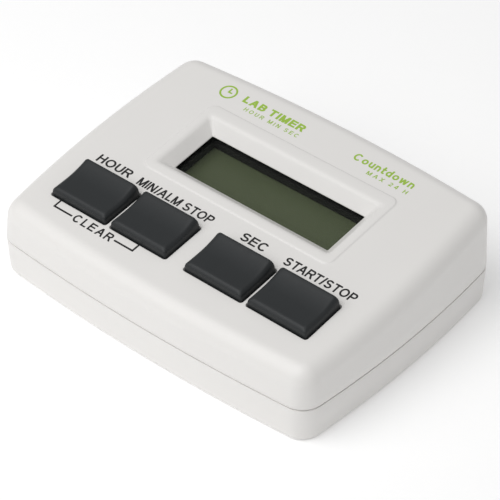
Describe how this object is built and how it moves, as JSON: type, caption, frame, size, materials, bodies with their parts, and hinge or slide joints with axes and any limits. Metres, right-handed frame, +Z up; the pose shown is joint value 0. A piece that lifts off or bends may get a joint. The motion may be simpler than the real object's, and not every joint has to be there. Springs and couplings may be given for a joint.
{
  "type": "lab timer",
  "caption": "Wedge-shaped bench timer with a sunken display window, one row of scooped press keys and a sliding battery door underneath.",
  "frame": {"origin": "middle of the flat underside, which rests on the bench", "axes": "+Z up, +Y towards the high back edge, +X to the right of the person using it"},
  "size_m": [0.08, 0.0592, 0.022],
  "materials": {
    "case_white": "fine satin moulded ABS, warm white",
    "key_charcoal": "satin moulded ABS, charcoal",
    "black_plastic": "matte black",
    "clear_lens": "clear polished acrylic",
    "display_olive": "liquid-crystal glass over an olive reflector",
    "black_rubber": "matte conductive rubber",
    "grey_rubber": "matte silicone rubber",
    "board_green": "green solder mask over glass epoxy",
    "black_epoxy": "cast black epoxy",
    "steel": "nickel-plated steel",
    "brass": "rolled brass",
    "cell_label": "satin printed film on a steel can",
    "red_wire": "PVC insulation",
    "black_wire": "PVC insulation"
  },
  "bodies": {
    "case": {"top_case": "case_white", "bottom_case": "case_white", "window_lens": "clear_lens", "display_surround": "black_plastic", "display_glass": "display_olive", "zebra_strip_front": "black_rubber", "zebra_strip_back": "black_rubber", "circuit_board": "board_green", "chip_blob": "black_epoxy", "quartz_crystal": "steel", "boost_coil": "black_epoxy", "beeper_transistor": "black_epoxy", "keypad_sheet": "grey_rubber", "piezo_disc": "brass", "battery_cell": "cell_label", "battery_plus_contact": "steel", "battery_minus_contact": "steel", "battery_spring": "steel", "battery_wire_red": "red_wire", "battery_wire_black": "black_wire", "piezo_wire_red": "red_wire", "piezo_wire_black": "black_wire", "keypad_dome_hour": "grey_rubber", "keypad_dome_minute": "grey_rubber", "keypad_dome_second": "grey_rubber", "keypad_dome_start": "grey_rubber", "board_screw_1": "steel", "case_screw_1": "steel", "board_screw_2": "steel", "case_screw_2": "steel", "board_screw_3": "steel", "case_screw_3": "steel", "board_screw_4": "steel", "case_screw_4": "steel"},
    "hour_key": {"key_hour": "key_charcoal"},
    "minute_key": {"key_minute": "key_charcoal"},
    "second_key": {"key_second": "key_charcoal"},
    "start_key": {"key_start": "key_charcoal"},
    "door": {"battery_door": "case_white"}
  },
  "joints": [
    {"name": "hour_key_press", "type": "slide", "parent": "case", "child": "hour_key", "axis": [0, 0.1149, -0.9934], "range_m": [0, 0.001], "stiffness_N_per_m": 700, "springref_m": -0.0006, "deforming": ["keypad_dome_hour"]},
    {"name": "minute_key_press", "type": "slide", "parent": "case", "child": "minute_key", "axis": [0, 0.1149, -0.9934], "range_m": [0, 0.001], "stiffness_N_per_m": 700, "springref_m": -0.0006, "deforming": ["keypad_dome_minute"]},
    {"name": "second_key_press", "type": "slide", "parent": "case", "child": "second_key", "axis": [0, 0.1149, -0.9934], "range_m": [0, 0.001], "stiffness_N_per_m": 700, "springref_m": -0.0006, "deforming": ["keypad_dome_second"]},
    {"name": "start_key_press", "type": "slide", "parent": "case", "child": "start_key", "axis": [0, 0.1149, -0.9934], "range_m": [0, 0.001], "stiffness_N_per_m": 700, "springref_m": -0.0006, "deforming": ["keypad_dome_start"]},
    {"name": "battery_door_slide", "type": "slide", "parent": "case", "child": "door", "axis": [0, 1, 0], "range_m": [0, 0.0085]}
  ]
}
